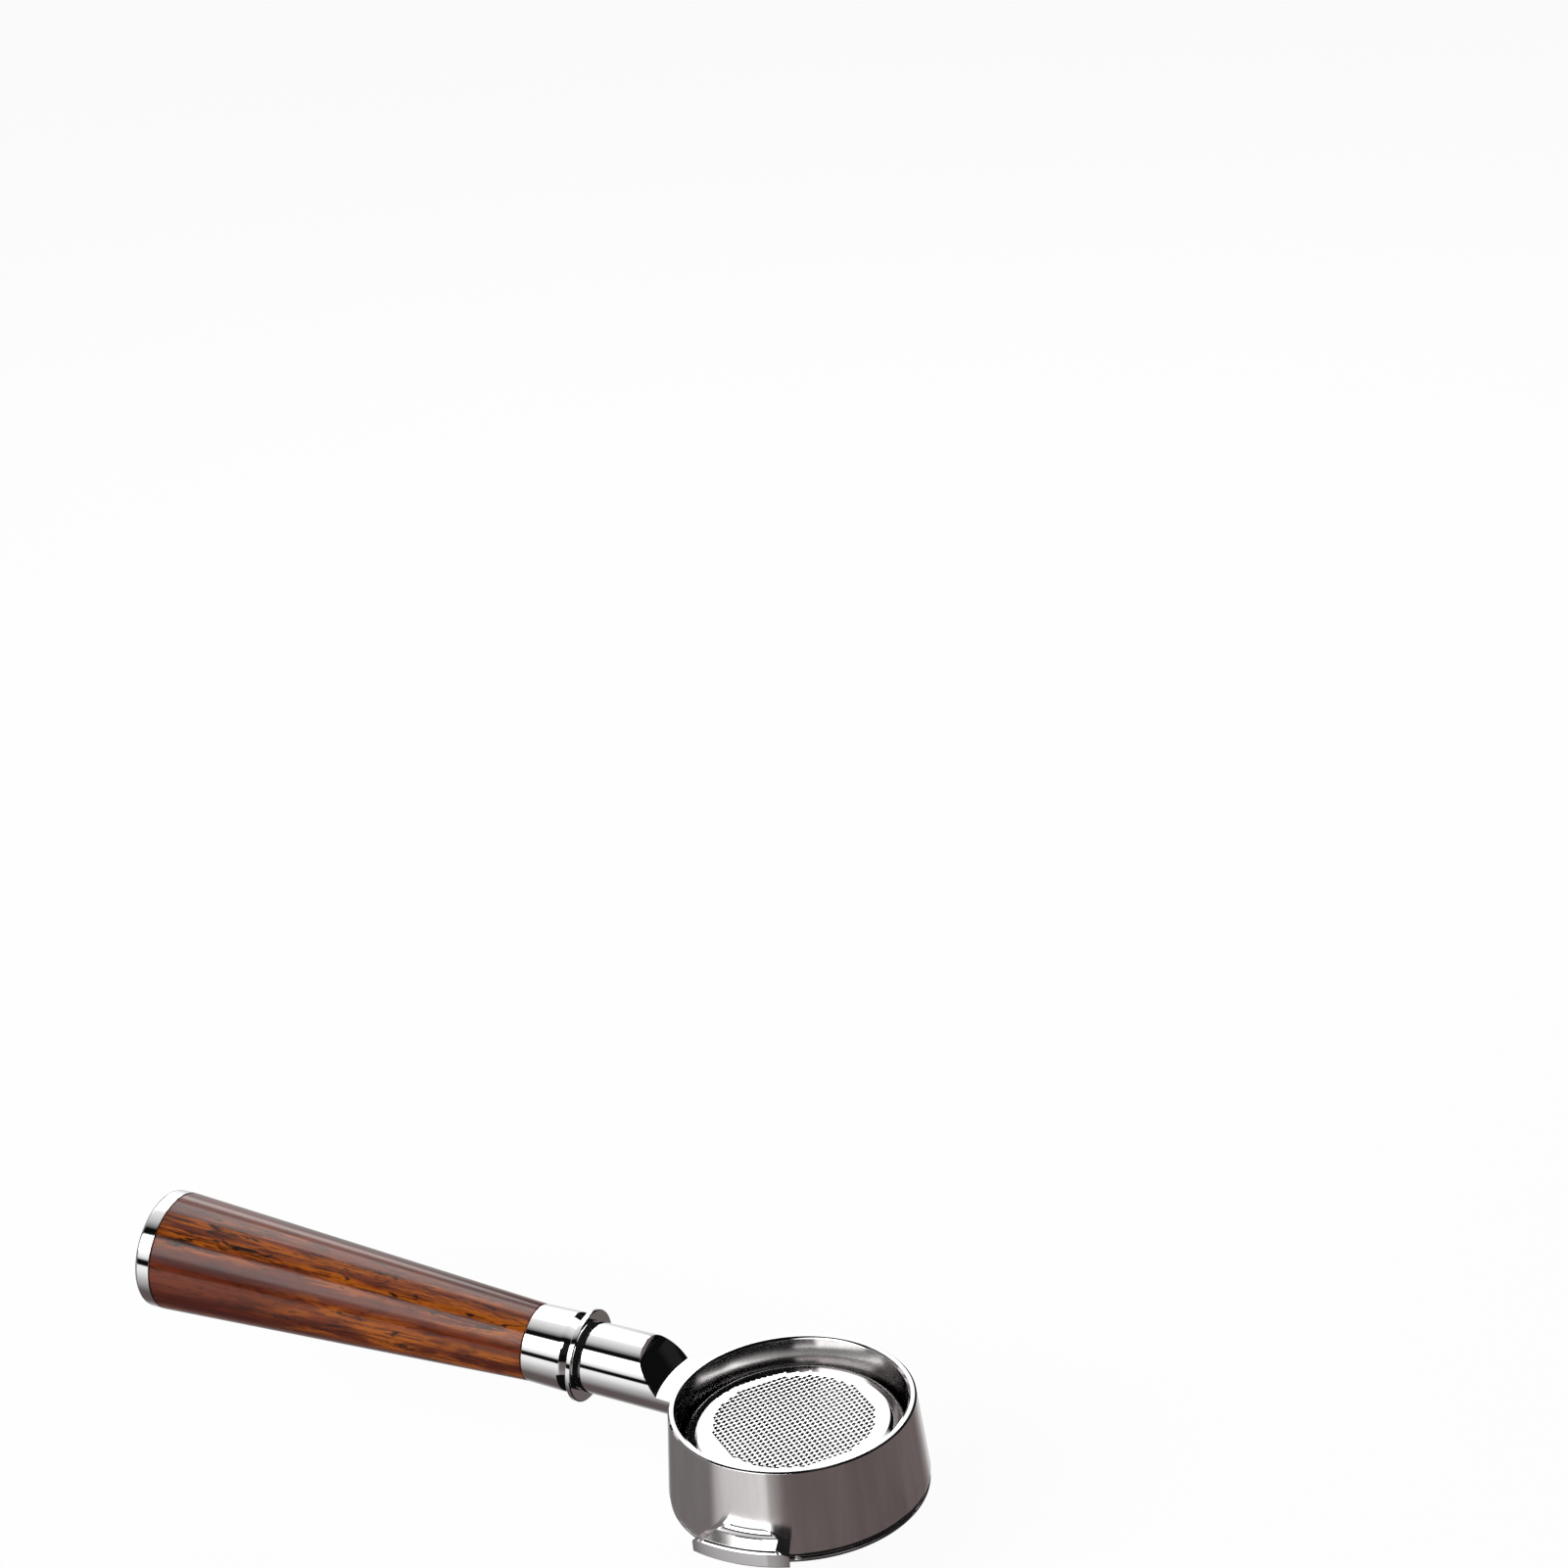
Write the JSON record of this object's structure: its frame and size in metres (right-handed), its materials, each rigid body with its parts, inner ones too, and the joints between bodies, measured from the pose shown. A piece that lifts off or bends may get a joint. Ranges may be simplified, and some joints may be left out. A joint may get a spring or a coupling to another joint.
{
  "type": "portafilter",
  "caption": "Bottomless portafilter with two bayonet lugs, a drop-in filter basket, a polished neck and ferrule, and a turned wooden grip, stored turned over.",
  "frame": {"origin": "centre of the basket's mouth, in the plane of its sealing face", "axes": "stored turned over: +Z along the ring's axis from the basket's mouth to the open rim, grip along -X, lugs near +Y and -Y"},
  "size_m": [0.2284, 0.083, 0.0568],
  "materials": {
    "brushed_ring": "fine turned brushing",
    "polished_metal": "mirror polish",
    "spring_wire": "drawn wire",
    "basket_sheet": "bright pressed sheet",
    "stud_steel": "zinc plated thread",
    "seal_rubber": "matt black",
    "rosewood": "gloss lacquer",
    "insert_brass": "machined"
  },
  "bodies": {
    "head": {"ring": "brushed_ring", "neck": "polished_metal", "lug_front": "polished_metal", "lug_back": "polished_metal", "stud": "stud_steel", "seal_washer": "seal_rubber", "collar": "polished_metal", "lock_washer": "spring_wire", "ferrule": "polished_metal", "grip": "rosewood", "grip_insert": "insert_brass", "end_cap": "polished_metal", "cap_ring": "seal_rubber"},
    "clip": {"basket_clip": "spring_wire"},
    "basket_body": {"basket": "basket_sheet"}
  },
  "joints": [
    {"name": "clip_turn", "type": "hinge", "parent": "head", "child": "clip", "pos_m": [0, 0, 0.009], "axis": [0, 0, 1], "continuous": true},
    {"name": "basket_pull", "type": "slide", "parent": "clip", "child": "basket_body", "axis": [0, 0, -1], "range_m": [0, 0.03]}
  ]
}
